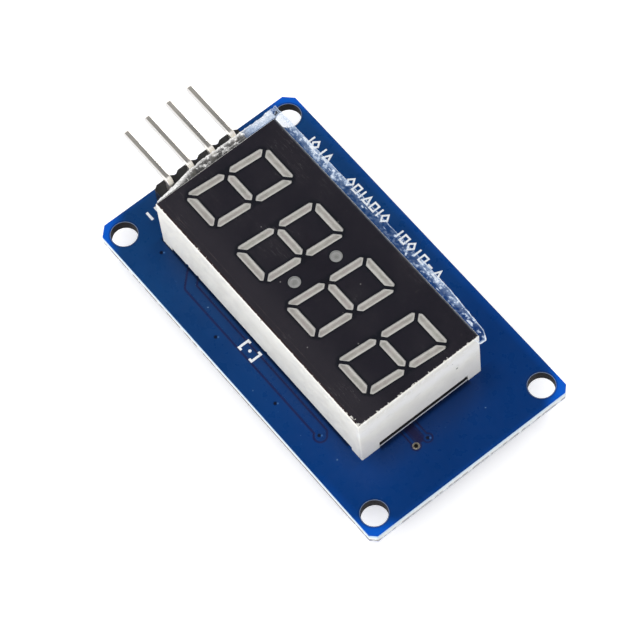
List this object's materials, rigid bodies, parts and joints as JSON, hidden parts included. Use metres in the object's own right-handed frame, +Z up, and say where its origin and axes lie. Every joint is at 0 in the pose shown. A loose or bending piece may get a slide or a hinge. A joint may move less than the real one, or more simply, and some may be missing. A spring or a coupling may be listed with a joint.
{
  "type": "seven segment display module",
  "caption": "Clock-style seven segment LED display on a blue circuit board, with corner mounting holes, a bent pin header and a driver chip underneath.",
  "frame": {"origin": "middle of the four mounting holes, on the underside of the board", "axes": "+X along the board, from the header end to the far end; +Y across the board, towards the tops of the digits; +Z up, out of the display's face"},
  "size_m": [0.0465, 0.0236, 0.0106],
  "materials": {
    "laminate": "sawn glass-fibre laminate, pale cream",
    "solder_mask": "glossy blue solder mask",
    "plating": "tinned copper",
    "shell": "white moulded shell, satin",
    "face_ink": "black-brown printed face",
    "film": "clear protective film, crinkled where it overhangs",
    "resin": "unlit milky resin, grey-beige",
    "led_die": "LED die",
    "substrate": "white board of the display",
    "pin_metal": "tinned metal, drawn",
    "solder": "bright solder and tin",
    "header_plastic": "black moulded header",
    "chip_body": "black moulding compound",
    "capacitor_body": "tan ceramic",
    "resistor_body": "black glazed ceramic"
  },
  "bodies": {
    "root": {"laminate": "laminate", "solder_mask_top": "solder_mask", "solder_mask_bottom": "solder_mask", "plated_holes": "plating", "display_shell": "shell", "face_ink": "face_ink", "protective_film": "film", "digit_1": "resin", "digit_2": "resin", "digit_3": "resin", "digit_4": "resin", "colon_dots": "resin", "led_dies": "led_die", "display_substrate": "substrate", "display_pin_1": "pin_metal", "display_pin_2": "pin_metal", "display_pin_3": "pin_metal", "display_pin_4": "pin_metal", "display_pin_5": "pin_metal", "display_pin_6": "pin_metal", "display_pin_7": "pin_metal", "display_pin_8": "pin_metal", "display_pin_9": "pin_metal", "display_pin_10": "pin_metal", "display_pin_11": "pin_metal", "display_pin_12": "pin_metal", "display_solder": "solder", "header_base": "header_plastic", "header_pin_1": "pin_metal", "header_pin_2": "pin_metal", "header_pin_3": "pin_metal", "header_pin_4": "pin_metal", "header_solder": "solder", "driver_chip": "chip_body", "chip_leads": "pin_metal", "capacitor_1": "capacitor_body", "capacitor_2": "capacitor_body", "capacitor_3": "capacitor_body", "resistor_1": "resistor_body", "resistor_2": "resistor_body", "end_caps": "solder", "solder_pads": "solder"}
  },
  "joints": []
}
